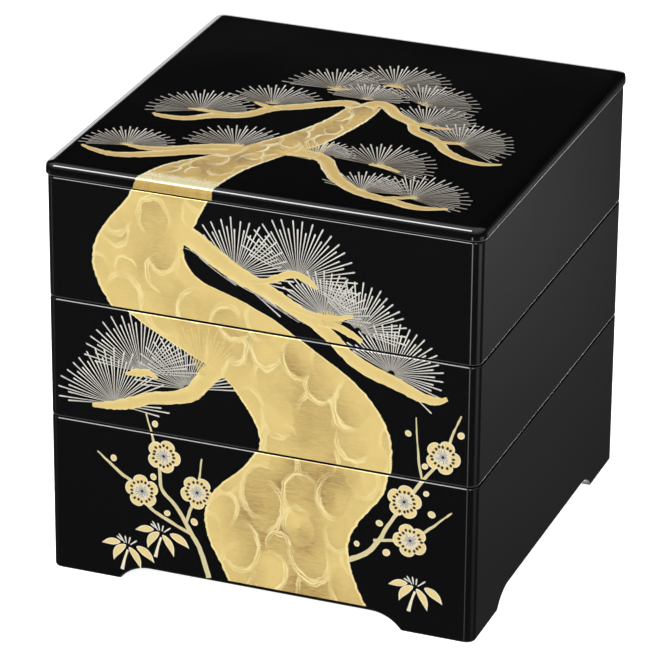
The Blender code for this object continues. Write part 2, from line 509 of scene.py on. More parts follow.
standing_tier()

# %% [markdown]
# ### Lid
# A flat cap with a soft border: the skirt swells a little, turns in over a tight shoulder and a rounded
# edge, and the top rises gently over a few millimetres to its flat middle. That border catches the pale
# line around the lid and keeps the skirt dark. One bevel can't turn tight and then gently, so the section
# is a chain of arcs, made by insetting the top face again and again, each time a little higher.

# %% Lid
LID_ARCS = (                 # radius in mm, lean in degrees where the arc ends, steps
    (14.4, 12.0, 5), (0.3, 43.0, 4), (1.4, 76.0, 7),
)
LID_BORDER = 4.6 * MM
SLOPE_STEPS = 8
NEARLY_UP = 0.9              # how upright a face's normal has to be for the face to count as the top


def lid_border():
    """The lid's border in section: pairs of way in from the skirt and way down from the top."""
    points = [(0.0, 0.0)]
    lean = 0.0

    def add_arc(radius, end, steps):
        """Go on along an arc until it leans so far."""
        inner, height = points[-1]
        for step in range(1, steps + 1):
            angle = lean + (end - lean) * step / steps
            inwards = radius * (math.cos(lean) - math.cos(angle))
            upwards = radius * (math.sin(angle) - math.sin(lean))
            points.append((inner + inwards, height + upwards))

    for radius, end, steps in LID_ARCS:
        add_arc(radius * MM, math.radians(end), steps)
        lean = math.radians(end)
    add_arc((LID_BORDER - points[-1][0]) / math.cos(lean), math.radians(90.0), SLOPE_STEPS)
    top = points[-1][1]
    return [(inner, top - height) for inner, height in points]


def resting_lid():
    """The lid, with its soft border."""
    seat, high = SEAMS["lid"]
    border = lid_border()
    skirt = high - INK_ROOM - border[0][1]
    lid = rounded_block("lid_shell", LID_SIDE - 2 * INK_ROOM, CORNER + LID_OVERHANG, seat, skirt)
    edit_only(lid, "FACE", lambda face: face.normal.z > NEARLY_UP)
    for (inner, fall), (next_inner, next_fall) in zip(border, border[1:]):
        bpy.ops.mesh.inset(thickness=next_inner - inner, depth=fall - next_fall)
    bpy.ops.object.mode_set(mode="OBJECT")
    add_rib(lid, seat, high - LID_PLATE)
    soften(lid)
    settle(lid, LACQUER, "lid")


resting_lid()

# %% [markdown]
# ## How the picture is made
# The picture is print: flat ink, a few hundredths of a millimetre thick. A picture file could be wrapped
# round the box, but it would blur when the eye comes close, and a drawn shape stays sharp. So it is drawn
# as a printer's sheet, flat and in millimetres, one sheet for the fronts of the trays and one for the
# lid. Each shape on a sheet is a strip or a disc. Then every sheet is cut at the seams, folded over the
# soft edges, and thickened into a closed film. Films that lie over each other get their own heights, so
# that no two faces share a plane.

# %% Flat shapes
def catch_mesh():
    """Take the mesh of the primitive just added, and drop its object."""
    obj = bpy.context.object
    mesh = obj.data
    bpy.data.objects.remove(obj, do_unlink=True)
    return mesh


def strip(rows, columns=1):
    """A flat strip: a grid whose rows are laid between pairs of points."""
    bpy.ops.mesh.primitive_grid_add(x_subdivisions=columns, y_subdivisions=len(rows) - 1, size=1.0)
    mesh = catch_mesh()
    for row, (left, right) in enumerate(rows):
        for column in range(columns + 1):
            share = column / columns
            x = left[0] + (right[0] - left[0]) * share
            y = left[1] + (right[1] - left[1]) * share
            mesh.vertices[row * (columns + 1) + column].co = (x, y, 0.0)
    return mesh


def disc(outline):
    """A flat filled shape from a circle whose points are moved to an outline."""
    bpy.ops.mesh.primitive_circle_add(vertices=len(outline), radius=1.0, fill_type="NGON")
    mesh = catch_mesh()
    for vertex, (x, y) in zip(mesh.vertices, outline):
        vertex.co = (x, y, 0.0)
    return mesh


def smooth_through(points, per_span=6):
    """A smooth curve through points of any number of values."""
    padded = [points[0], *points, points[-1]]
    line = []
    for a, b, c, d in zip(padded, padded[1:], padded[2:], padded[3:]):
        for step in range(per_span):
            t = step / per_span
            line.append(tuple(
                q + 0.5 * t * (r - p + t * (2 * p - 5 * q + 4 * r - s + t * (3 * (q - r) + s - p)))
                for p, q, r, s in zip(a, b, c, d)
            ))
    line.append(tuple(points[-1]))
    return line


WOBBLE_PACE = 0.6            # how often a hand-drawn edge wavers, for each mm


def ribbon(points, per_span=6, wobble=0.0, columns=1):
    """A brush stroke along points of (x, y, half width)."""
    line = smooth_through(points, per_span)
    rows = []
    for number, (x, y, half) in enumerate(line):
        ahead = line[min(number + 1, len(line) - 1)]
        behind = line[max(number - 1, 0)]
        along = Vector((ahead[0] - behind[0], ahead[1] - behind[1])).normalized()
        left, right = (
            half + wobble * noise.noise((x * WOBBLE_PACE, y * WOBBLE_PACE, edge)) for edge in (3.0, 9.0)
        )
        rows.append(((x - along.y * left, y + along.x * left), (x + along.y * right, y - along.x * right)))
    return strip(rows, columns)


def point_values(mesh, **kinds):
    """Give every point of a mesh new named values, for the inks to read."""
    for name, kind in kinds.items():
        mesh.attributes.new(name, kind, "POINT")
    return [mesh.attributes[name].data for name in kinds]


print("a smooth line through 3 points has", len(smooth_through(((0, 0), (1, 2), (2, 0)))), "points")

# %% Sheets
sheets = {}


def lay(sheet, shape, lift, at=(0.0, 0.0), turn=0.0, size=(1.0, 1.0), shade=0.0):
    """Lay a copy of a flat shape on a sheet, with its shade, if it has one, made darker."""
    copy = shape.copy()
    place = Matrix.Translation((at[0], at[1], lift)) @ Matrix.Rotation(turn, 4, "Z")
    copy.transform(place @ Matrix.Diagonal((size[0], size[1], 1.0, 1.0)))
    if "shade" in copy.attributes:
        for value in copy.attributes["shade"].data:
            value.value += shade
    if sheet not in sheets:
        sheets[sheet] = bmesh.new()
    sheets[sheet].from_mesh(copy)
    bpy.data.meshes.remove(copy)


# Heights of the films' upper faces over the lacquer, in mm
NEEDLE_LIFT = 0.012
BRANCH_LIFT = 0.024
TRUNK_LIFT = 0.036
TUFT_LIFT = 0.044
STEM_LIFT = 0.024
OUTLINE_LIFT = 0.030
BLOSSOM_LIFT = 0.038
HEART_LIFT = 0.048
DOT_LIFT = 0.056
MIDDLE_LIFT = BLOSSOM_LIFT + 0.007
RAY_LIFT = HEART_LIFT + 0.003
STAMEN_DOT_LIFT = DOT_LIFT + 0.002
CENTRE_DOT_LIFT = DOT_LIFT + 0.004
FILM = 0.02                  # thickness of every film
# Strokes of one film that cross lie apart too: needles within a spread, the others by steps
NEEDLE_SPREAD = 0.008
STROKE_STEP = 0.0006
PETAL_STEP = 0.0012

# %% [markdown]
# ### The trunk
# The trunk is one broad band that leans left, swings right and stands on the bottom tray's arch. It could
# be filled as one outline, but then it would have no points inside to carry the bark. So its two edges
# are smooth curves through a few points, and level rows between them make a fine grid. A little noise
# roughens the edges, as a brushed edge is.

# %% Trunk edges
FRONT_EDGES = {
    "top_tier": (
        ((-55, 189), (-61, 179), (-69, 169), (-74.5, 159), (-76, 150), (-74, 141), (-68, 130.5), (-63, 126)),
        ((-20.5, 189), (-24, 183), (-30, 171), (-34, 163), (-33, 155.5), (-26, 148), (-10, 142.7),
         (6, 136), (16, 130), (22, 126)),
    ),
    "middle_tier": (
        ((-66, 133), (-53, 124), (-33, 114), (-17, 106), (-6, 93), (0, 81), (-1, 69)),
        ((11, 133), (26, 124), (43, 113), (54, 101), (59.5, 88), (59.5, 69)),
    ),
    "bottom_tier": (
        ((0, 76), (-7, 65), (-20, 52), (-25, 40), (-23.5, 28), (-17, 15), (-12.5, 5)),
        ((59, 76), (56, 63), (46, 49), (41, 38), (42, 26), (46, 15), (51.5, 5)),
    ),
}
LID_EDGES = (
    ((-1, 14), (-4, -5), (-11, -24), (-22, -43), (-36, -64), (-49, -80), (-55.5, -98), (-57, -106)),
    ((13, 14), (12.5, 0), (10, -14), (4, -35), (-7, -54), (-16, -74), (-20.5, -97), (-21, -106)),
)


def edge_lines(edges):
    """Both edges as dense lines, lowest point first."""
    return [sorted(smooth_through(points, 10), key=lambda point: point[1]) for points in edges]


def edge_at(line, height):
    """Where a line stands at a height."""
    for (x0, y0), (x1, y1) in zip(line, line[1:]):
        if y1 >= height:
            share = (height - y0) / max(y1 - y0, 1e-6)
            return x0 + (x1 - x0) * min(max(share, 0.0), 1.0)
    return line[-1][0]


foot_left, foot_right = (edge_at(line, 30.0) for line in edge_lines(FRONT_EDGES["bottom_tier"]))
print("the trunk is", round(foot_right - foot_left, 1), "mm wide at 30 mm over the ground")

# %% [markdown]
# ### Bark
# Old pine bark is a quilt of thick plates. The print shows each plate by one dry brush stroke in pale
# gold, round part of an oval, and by brown shading inside it. Cut out as shapes, such strokes would look
# like wire, because a dry brush leaves soft edges. So they are painted: every point of the trunk's grid,
# a third of a millimetre apart, stores a shade, a light, and its place across and along the brush stroke.
# The gold's material turns the first two into colour, and draws the marks of the bristles from the third.

# %% One plate of bark
DEEPEST_SHADE = 0.68
STROKE_SOFTNESS = 0.25       # over how many mm a stroke's edge fades
STROKE_MARGIN = 0.9          # how far beside a stroke the places across it are still stored, in mm


def ease(value):
    """A soft step from 0 to 1."""
    value = min(max(value, 0.0), 1.0)
    return value * value * (3.0 - 2.0 * value)


class Plate:
    """One plate of bark: a leaning oval, and the brush stroke round part of it."""

    def __init__(self, x, y, radius, contrast, chance):
        self.x, self.y, self.radius = x, y, radius
        self.tall = chance.uniform(1.2, 1.6)
        self.lean = chance.uniform(-0.4, 0.4)
        self.shade = min(contrast * chance.choice((0.0, 0.14, 0.28, 0.44)), DEEPEST_SHADE)
        self.middle = chance.uniform(0.0, math.tau)
        self.half = chance.uniform(1.4, 2.6)
        self.width = radius * chance.uniform(0.2, 0.34)
        self.bristles = chance.uniform(0.0, 90.0)

    def measure(self, x, y):
        """Distance out from the oval's line, and the turn from the middle of the stroke."""
        x, y = x - self.x, y - self.y
        across = x * math.cos(self.lean) + y * math.sin(self.lean)
        up = (y * math.cos(self.lean) - x * math.sin(self.lean)) / self.tall
        turn = (math.atan2(up, across) - self.middle + math.pi) % math.tau - math.pi
        return math.hypot(across, up) - self.radius, turn

    def paint(self, x, y, shade, light, brush):
        """Shade, light and place in the stroke at a point, once this plate is painted over what was there."""
        out, turn = self.measure(x, y)
        # An unsteady hand bulges the oval by up to 0.7 mm, and the bristles fray it by another 0.2 mm
        out += 0.7 * noise.noise((x * 0.3, y * 0.3, self.middle)) + 0.2 * noise.noise((x, y, self.middle))
        facing = 0.5 + 0.5 * math.cos(turn)
        if out < 0.0:
            # Inside, the shading is deepest by the stroke, and it hides what was painted there before
            inside = ease(-out / 1.2) * (0.4 + 0.6 * facing)
            depth = 0.7 + 0.3 * ease(1.0 + out / self.radius) * facing
            shade += (self.shade * depth - shade) * inside
            light *= 1.0 - inside
        along = turn / self.half
        if abs(along) < 1.0:
            # The stroke is widest in its middle and thins out to nothing at both ends
            thin = 1.0 - abs(along) ** 3
            away = abs(out) - 0.5 * self.width * (0.35 + 0.65 * thin)
            touch = (1.0 - ease(away / STROKE_SOFTNESS)) * (1.0 - along ** 4)
            if away < STROKE_MARGIN and touch >= light:
                light = touch
                brush = (out, turn * self.radius, self.bristles)
            inner = abs(out + 0.75 * self.width) / STROKE_SOFTNESS
            shade += 0.1 * (1.0 - ease(inner)) * (1.0 - along ** 2)
        return shade, light, brush


sample = Plate(0.0, 0.0, 8.0, 1.0, random.Random(1))
print("a plate 16 mm wide has a stroke", round(sample.width, 1), "mm wide")

# %% Plates over a whole trunk
def bark_plates(lines, low, high, size, contrast, seed):
    """Plates of about one size, in staggered rows between the trunk's edges. Shares are of that size."""
    chance = random.Random(seed)
    plates = []
    height = low + 0.3 * size
    row = 0
    while height < high + 0.5 * size:
        left, right = (edge_at(line, height) for line in lines)
        count = max(1, round((right - left) / (0.95 * size)))
        step = (right - left) / count
        for number in range(count + row % 2):
            x = left + step * (number + 0.5 - 0.5 * (row % 2)) + size * chance.uniform(-0.16, 0.16)
            y = height + size * chance.uniform(-0.22, 0.22)
            plates.append(Plate(x, y, size * chance.uniform(0.3, 0.48), contrast, chance))
        height += 0.8 * size
        row += 1
    return plates


RIM_WIDTH = 0.8              # width of the pale rim along the trunk's edges, in mm
RIM_SOFTNESS = 0.5
ROOT_CLEAR = 14.0            # round a branch's root that rim fades over this many mm


def bark_paint(x, y, left, right, plates, contrast, roots):
    """Shade, light and place in the brush stroke at one point of the trunk."""
    inset = min(x - left, right - x)
    middle = ease(inset / (0.36 * (right - left)))
    # Between the plates the gold is browner in some places than in others, and palest by the edges
    shade = max(0.0, 0.19 + 0.25 * noise.noise((x * 0.07, y * 0.07, 7.0))) * middle * contrast
    light = 0.0
    brush = (inset, y, 0.0)
    for plate in plates:
        shade, light, brush = plate.paint(x, y, shade, light, brush)
    # The rim stops where a branch springs, and it is patchy, as a dry brush leaves it
    clear = min([1.0] + [ease(math.hypot(x - a, y - b) / ROOT_CLEAR - 0.2) for a, b in roots])
    rim = (1.0 - ease((inset - RIM_WIDTH) / RIM_SOFTNESS)) * clear * (2.2 + 2.5 * noise.noise((x, y, 2.0)))
    light *= 0.55 + 0.45 * middle
    if rim > light:
        light = rim
        brush = (inset, y, 0.0)
    return shade * (0.35 + 0.65 * middle), light, brush

# %% Trunk grids
GRID_STEP = 0.34             # distance between the grid's points, in mm
RAGS = ((0.5, 0.4), (0.35, 1.9), (0.35, 4.1))      # how far a brushed edge strays in mm, and how often
REACH_PAST = 3.0             # a plate still shows this far beyond its oval, in mm


def ragged(y, seed):
    """How far a brushed edge strays at a height."""
    return sum(size * noise.noise((0.0, y * pace, seed)) for size, pace in RAGS)


def lay_trunk(sheet, edges, low, high, size, contrast, seed, roots=(), finish=None):
    """Lay one stretch of trunk on a sheet, with its bark painted on its points, and any painted highlight
    from finish.
    """
    lines = edge_lines(edges)
    plates = bark_plates(lines, low, high, size, contrast, seed)
    rows = []
    count = math.ceil((high - low) / GRID_STEP)
    for number in range(count + 1):
        y = low + (high - low) * number / count
        left = edge_at(lines[0], y) + ragged(y, 1.0)
        right = edge_at(lines[1], y) + ragged(y, 5.0)
        rows.append(((left, y), (right, y)))
    columns = math.ceil(max(right[0] - left[0] for left, right in rows) / GRID_STEP)
    grid = strip(rows, columns)
    shades, lights, brushes = point_values(grid, shade="FLOAT", light="FLOAT", brush="FLOAT_VECTOR")
    for number, (left, right) in enumerate(rows):
        y = left[1]
        near = [plate for plate in plates if abs(y - plate.y) < plate.radius * plate.tall + REACH_PAST]
        for column in range(columns + 1):
            vertex = number * (columns + 1) + column
            x = grid.vertices[vertex].co.x
            shade, light, brush = bark_paint(x, y, left[0], right[0], near, contrast, roots)
            if finish:
                shade, light = finish(y, shade, light)
            shades[vertex].value = shade
            lights[vertex].value = light
            brushes[vertex].vector = brush
    lay(sheet, grid, TRUNK_LIFT)
    print(sheet, len(plates), "plates,", len(grid.vertices), "points")

# %% Lay the trunk on its sheets
SKIRT_TOP = -98.2            # on the lid's sheet the front skirt lies below this line
SKIRT_GOLD = (0.34, 0.14)    # its shade and light
# Painted highlight: towards the lid's front edge the bark's shade is taken out and cream laid on instead
HIGHLIGHT_START, HIGHLIGHT_LENGTH = -88.0, 8.0
BORDER_HIGHLIGHT = 2.2


def lid_highlight_and_skirt(y, shade, light):
    """Lid: cream over the bark near the front edge, a painted highlight, and a deeper gold skirt."""
    if y < SKIRT_TOP:
        return SKIRT_GOLD
    # Painted highlight, strongest at the front edge
    painted_highlight = ease((HIGHLIGHT_START - y) / HIGHLIGHT_LENGTH)
    return shade * (1.0 - painted_highlight), max(light, BORDER_HIGHLIGHT * painted_highlight)


FRONT_TRUNKS = (             # tier, lowest and highest point, size of plates, contrast, seed, branch roots
    ("top_tier", 128.0, 187.5, 18.0, 1.0, 11, ((-34, 167),)),
    ("middle_tier", 71.5, 131.0, 18.0, 1.5, 12, ((-14, 110),)),
    ("bottom_tier", 8.8, 75.0, 18.5, 2.9, 13, ()),
)
LID_ROOTS = ((5, 10), (-24, -52), (-30, -58), (-5, -48))
for tier, low, high, size, contrast, seed, roots in FRONT_TRUNKS:
    lay_trunk("front_trunk_" + tier, FRONT_EDGES[tier], low, high, size, contrast, seed, roots)
lay_trunk("lid_trunk", LID_EDGES, -105.5, 13.0, 11.5, 1.8, 14, LID_ROOTS, lid_highlight_and_skirt)

# %% [markdown]
# ### Branches
# Each branch is one loaded brush stroke that thins towards its tip, paler along both edges. It could be
# an outline, like a cut piece of paper, but a stroke along a few points bends as a hand does, and its
# width follows by itself. Points are (x, y, half width), all in mm.

# %% Branches
FRONT_BRANCHES = (
    ((-40, 168, 5), (-31, 167, 4.6), (-20, 160, 4.4), (-9, 153.5, 3.9), (3, 148.5, 3.4), (14, 143, 3.1),
     (24, 138, 3.0), (33, 131.5, 3.0), (40, 125, 2.9), (50, 119.5, 3.2), (61, 116, 2.9), (71, 112, 2.4),
     (79, 111, 1.7), (84, 112.5, 0.9)),
    ((-8, 151, 1.0), (2, 152.5, 1.3), (9, 155.5, 1.6), (15, 158, 1.7), (21, 156.5, 1.6), (26, 153, 0.7)),
    ((14, 143, 1.2), (24, 141, 1.4), (34, 141, 1.4), (42, 143.5, 0.7)),
    ((26, 137.5, 1.2), (34, 137.5, 1.6), (41, 135, 1.7), (46, 132.5, 0.8)),
    ((-12, 111, 5), (-20, 108, 4.4), (-26, 101, 4.1), (-31, 95, 3.6), (-40, 91.5, 3.0), (-50, 89.5, 2.8),
     (-58, 86, 2.8), (-66, 83.5, 2.2), (-77, 81.5, 0.9)),
    ((-46.5, 99.5, 0.5), (-51, 101.2, 1.5), (-56, 100.6, 1.7), (-61.5, 99, 0.6)),
)
LID_BRANCHES = (
    ((4, 8, 4.5), (-3, 13, 3.6), (-12, 8, 3.2), (-21, 1.5, 3.2), (-31, -5, 3.0), (-39, -16, 3.2),
     (-51, -21.5, 3.0), (-61, -29, 2.4), (-72, -30.5, 1.9), (-77, -28.5, 0.7)),
    ((-27, -5, 1.4), (-35, -3, 1.6), (-41, -0.5, 0.7)),
    ((-42, -18, 1.6), (-53, -18, 1.7), (-65, -18, 0.7)),
    ((5, 9, 4.5), (9, 17, 3.4), (15, 15.5, 3.2), (21.5, 8, 3.0), (31, 1.5, 2.7), (36, -7, 2.6),
     (48, -14, 2.6), (54.5, -22, 2.4), (64, -28.5, 2.3), (74, -30.5, 1.8), (82, -28, 0.7)),
    ((30, 2, 1.6), (40, 0.5, 1.6), (49, 1.5, 0.7)),
    ((46, -13.5, 1.4), (53, -13.5, 1.5), (60, -12, 0.7)),
    ((-26, -52, 4.2), (-36, -54, 3.4), (-46, -59, 3.2), (-56, -65, 2.8), (-66, -67, 1.9), (-75, -66, 0.7)),
    ((-30, -58, 3.4), (-44, -63, 3.2), (-58, -71.5, 3.2), (-73, -78, 2.5), (-84, -76.5, 1.6),
     (-91, -73.5, 0.6)),
    ((-6, -48, 4.4), (3, -47.5, 3.8), (11, -51, 3.6), (17, -60, 3.4), (25, -70, 3.2), (37, -78.5, 3.0),
     (51, -82, 2.6), (65, -85, 2.3), (77, -81.5, 0.9)),
    ((47, -81, 1.6), (54, -78, 1.5), (61, -75, 0.6)),
    ((30, -48.5, 0.6), (37, -49, 1.6), (45, -52, 0.7)),
    ((-17, 25, 0.4), (-12, 27, 1.2), (-7, 29.5, 0.4)),
    ((4, 38.5, 0.4), (9, 39.5, 1.2), (15, 38, 0.4)),
)

# %% Lay the branches, with a dry brush under their roots
BRANCH_LIGHT = (0.9, 0.25, 0.0, 0.0, 0.15, 0.5, 1.0)     # across a branch, upper edge to lower edge
BRUSH_LANE, BRUSH_ROW = 0.8, 1.2     # spacing of the stored brush across and along a branch, in mm


def branch_shape(points):
    """A branch with pale edges, brushed along its length."""
    shape = ribbon(points, 8, wobble=0.5, columns=len(BRANCH_LIGHT) - 1)
    lights, brushes = point_values(shape, light="FLOAT", brush="FLOAT_VECTOR")
    for number, vertex in enumerate(shape.vertices):
        row, column = divmod(number, len(BRANCH_LIGHT))
        patchy = 0.9 + 0.6 * noise.noise((vertex.co.x * 0.5, vertex.co.y * 0.5, 4.0))
        lights[number].value = BRANCH_LIGHT[column] * patchy
        brushes[number].vector = (BRUSH_LANE * column, BRUSH_ROW * row, points[0][0])
    return shape


STREAK_LANES = (0.2, 0.65, 1.1, 1.6)     # how far below the branch the streaks lie, in mm


def dry_brush(sheet, points, first, last, chance):
    """Thin broken silver streaks just below a stretch of a branch's lower edge."""
    line = smooth_through(points, 8)
    for lane in STREAK_LANES:
        start = first + chance.randrange(0, 6)
        while start < last - 3:
            stop = min(start + chance.randrange(5, 16), last)
            run = [(x, y - half - lane, chance.uniform(0.06, 0.14)) for x, y, half in line[start:stop]]
            lay(sheet, ribbon(run, 1), NEEDLE_LIFT + chance.uniform(0.0, NEEDLE_SPREAD))
            start = stop + chance.randrange(3, 9)


BRUSHED_UNDER = ((0, 6, 46), (4, 4, 18))     # a front branch, and the points where its streaks start and stop
chance = random.Random(3)
for side, branches in (("front", FRONT_BRANCHES), ("lid", LID_BRANCHES)):
    for number, branch in enumerate(branches):
        lay(side + "_branches", branch_shape(branch), BRANCH_LIFT + STROKE_STEP * number)
    print(side, len(branches), "branches")
for number, first, last in BRUSHED_UNDER:
    dry_brush("front_needles", FRONT_BRANCHES[number], first, last, chance)

# %% [markdown]
# ### Needle fans
# Pine needles are drawn as in old lacquer work: straight silver lines that spread from a point like a
# fan, long and short by turns, each a little wider at its blunt outer end. A pattern in the material could
# draw them too, but it has no ends of its own and turns to haze from afar. So one needle is modelled, and
# every fan turns copies of it. It is 1 mm long, and each copy is stretched to its own length.

# %% One needle
NEEDLE_ROWS = (              # share of the length, half width in mm, shade
    (0.0, 0.13, 0.75), (0.25, 0.16, 0.4), (0.5, 0.21, 0.15), (0.9, 0.3, 0.0), (0.975, 0.38, 0.0),
    (1.0, 0.2, 0.0),
)
NEEDLE = strip([((-half, along), (half, along)) for along, half, _ in NEEDLE_ROWS])
needle_shades, = point_values(NEEDLE, shade="FLOAT")
for number, (_, _, shade) in enumerate(NEEDLE_ROWS):
    for corner in (2 * number, 2 * number + 1):
        needle_shades[corner].value = shade
print("one needle has", len(NEEDLE.vertices), "points")

# %% Fans
FRONT_FANS = (               # middle of the fan, reach in mm, and the angles where it starts and stops
    (-11, 153, 26, 140, -36), (17, 156, 27, 160, -24), (29, 141, 21, 166, -4), (44, 137, 22, 140, -12),
    (59, 120, 23, 156, -40), (-54, 101, 27, 176, 4), (-66.5, 84, 26, 186, -6), (-33, 97, 25, 184, 8),
)
LID_FANS = (
    (9, 40, 25, 180, -8), (-14, 27, 25, 184, 20), (3, 20, 19, 178, 6), (28, 23, 25, 150, -16),
    (-33, 0, 23, 182, 12), (-59, -18.5, 24, 204, 8), (37, 1.5, 23, 162, -16), (58, -14, 24, 158, -36),
    (-30, -51, 24, 184, 10), (-73, -67, 21, 194, 4), (34, -49, 25, 172, -24), (6, -46, 16, 160, 6),
    (37, -77, 21, 168, 10), (59, -77, 25, 160, -18),
)
FRONT_PALE_FANS = ((-26, 103, 24, 118, 48), (31, 136, 8, 150, 30))
LID_PALE_FANS = ((7, -53, 20, 172, 88),)
FAN_STEP = 5.0               # degrees between needles
TURN_PLAY = 0.9              # how many degrees a hand strays from that
SHORT = 0.83                 # every other needle is shorter by this factor
LENGTH_PLAY = 0.03
SHADE_PLAY = 0.15
FOOT = 1.6                   # the needles start this far from the fan's middle, in mm
TUFT_STROKES = 9
TUFT_TURN_PLAY = 4.0
TUFT_REACH = (0.1, 0.18)     # a tuft's strokes are as long as these shares of its fan
TUFT_WIDE = 0.6
TUFT_SHADE = -0.75           # this takes away the needle's own shade, so that a tuft is pale all along
PALE_WIDE = 0.7              # needles of a pale fan are finer by this factor
FRONT_LEVEL_SHADE, LID_LEVEL_SHADE = 0.1, 0.55     # how much darker the nearly level needles are


def fan(sheet, centre, reach, start, stop, chance, level_shade=0.0, lift=NEEDLE_LIFT, wide=1.0):
    """Turn copies of the needle round a point. Those that lie nearly level may be darker."""
    count = round((start - stop) / FAN_STEP)
    for number in range(count + 1):
        angle = start + (stop - start) * number / count + chance.uniform(-TURN_PLAY, TURN_PLAY)
        share = (1.0 if number % 2 else SHORT) + chance.uniform(-LENGTH_PLAY, LENGTH_PLAY)
        length = reach * share - FOOT
        lean = math.radians(angle)
        foot = (centre[0] + FOOT * math.cos(lean), centre[1] + FOOT * math.sin(lean))
        dark = level_shade * abs(math.cos(lean)) + chance.uniform(0.0, SHADE_PLAY)
        height = lift + chance.uniform(0.0, NEEDLE_SPREAD)
        lay(sheet, NEEDLE, height, foot, lean - math.pi / 2, (wide, length), dark)


def tuft(sheet, centre, reach, start, stop, chance):
    """Short pale strokes over the gold where a fan starts."""
    for number in range(TUFT_STROKES):
        middle = start + (stop - start) * (number + 0.5) / TUFT_STROKES
        angle = middle + chance.uniform(-TUFT_TURN_PLAY, TUFT_TURN_PLAY)
        lift = TUFT_LIFT + chance.uniform(0.0, NEEDLE_SPREAD / 2)
        size = (TUFT_WIDE, reach * chance.uniform(*TUFT_REACH))
        lay(sheet, NEEDLE, lift, centre, math.radians(angle) - math.pi / 2, size, TUFT_SHADE)


chance = random.Random(5)
for x, y, reach, start, stop in FRONT_FANS:
    fan("front_needles", (x, y), reach, start, stop, chance, FRONT_LEVEL_SHADE)
for x, y, reach, start, stop in LID_FANS:
    fan("lid_needles", (x, y), reach, start, stop, chance, LID_LEVEL_SHADE)
    tuft("lid_tufts", (x, y), reach, start, stop, chance)
for sheet, pale_fans in (("front_faint_fans", FRONT_PALE_FANS), ("lid_tufts", LID_PALE_FANS)):
    for x, y, reach, start, stop in pale_fans:
        fan(sheet, (x, y), reach, start, stop, chance, lift=TUFT_LIFT, wide=PALE_WIDE)
print(len(FRONT_FANS), "fans on the front and", len(LID_FANS), "on the lid")

# %% [markdown]
# ### Plum blossom
# A plum flower is drawn with five round petals, a silver heart of rays, and stamens with dots at their
# ends. One outline for the whole flower would do for the colour, but real print shows each petal's rim
# over the next. So every petal is printed twice: a pale shape, and a smaller, deeper gold one over it,
# which leaves a fine pale outline. Petal, ray, stamen and dot are each drawn once and copied round.

# %% Plum blossom
PETAL_LENGTH = 3.3           # half length and half width of a petal, in mm
PETAL_WIDTH = 3.45
PETAL_REACH = 4.9            # from the flower's middle to a petal's middle
OUTLINE = 0.4                # width of the pale outline
PETALS = 5
RAYS = 16
RAY_REACH = 4.9              # from the flower's middle to the dots
MIDDLE_DISC = 3.9            # radius of the gold that joins the petals
HEART_DISC = 2.1             # radius of the silver heart
DOT = (0.76, 0.58)           # half length and half width of a stamen's dot
CENTRE_DOT = 0.6


def circle_angles(steps):
    """Angles round a whole turn."""
    return [math.tau * step / steps for step in range(steps)]


PETAL = disc([
    (PETAL_LENGTH * math.cos(a) * (1.0 - 0.10 * math.cos(a)), PETAL_WIDTH * math.sin(a))
    for a in circle_angles(22)
])
ROUND = disc([(math.cos(a), math.sin(a)) for a in circle_angles(20)])
RAY = strip([((-0.16, 0.8), (0.16, 0.8)), ((-0.36, 4.8), (0.36, 4.8))])
STAMEN = strip([((-0.07, 0.6), (0.07, 0.6)), ((-0.12, 3.9), (0.12, 3.9))])


def flower(x, y, turn, chance):
    """A plum blossom seen from the front."""
    shrink = 1.0 - OUTLINE / PETAL_LENGTH
    for number in range(PETALS):
        angle = turn + math.tau * number / PETALS
        place = (x + PETAL_REACH * math.cos(angle), y + PETAL_REACH * math.sin(angle))
        lay("front_outlines", PETAL, OUTLINE_LIFT + PETAL_STEP * number, place, angle)
        lay("front_blossom", PETAL, BLOSSOM_LIFT + PETAL_STEP * number, place, angle, (shrink, shrink))
    lay("front_blossom", ROUND, MIDDLE_LIFT, (x, y), 0.0, (MIDDLE_DISC, MIDDLE_DISC))
    lay("front_hearts", ROUND, HEART_LIFT, (x, y), 0.0, (HEART_DISC, HEART_DISC))
    for number in range(RAYS):
        angle = math.tau * (number + chance.uniform(-0.15, 0.15)) / RAYS
        reach = chance.uniform(0.9, 1.05)
        lay("front_hearts", RAY, RAY_LIFT, (x, y), angle - math.pi / 2, (1.0, reach))
        place = (x + RAY_REACH * reach * math.cos(angle), y + RAY_REACH * reach * math.sin(angle))
        lay("front_dots", ROUND, STAMEN_DOT_LIFT, place, angle, DOT)
        between = angle - math.pi / 2 + math.pi / RAYS
        lay("front_dots", STAMEN, DOT_LIFT, (x, y), between, (1.0, chance.uniform(0.45, 0.9)))
    lay("front_dots", ROUND, CENTRE_DOT_LIFT, (x, y), 0.0, (CENTRE_DOT, CENTRE_DOT))


FLOWERS = ((-44, 63), (-54.3, 44.4), (-28.6, 48.4), (65.7, 61.7), (68.6, 43.9), (82.5, 85.6))
for number, place in enumerate(FLOWERS):
    flower(*place, 1.2 + 0.5 * number, chance)
print(len(FLOWERS), "flowers of", PETALS, "petals and", RAYS, "stamens")

# %% [markdown]
# ### Plum wood and buds
# Young plum wood grows straight, and its buds are small and round. The stems could be thin tubes, but in
# print they are flat strokes, like the pine's branches, only thinner and of one colour. A bud is the disc
# of the flowers' dots, stretched a little and printed twice, as a petal is.

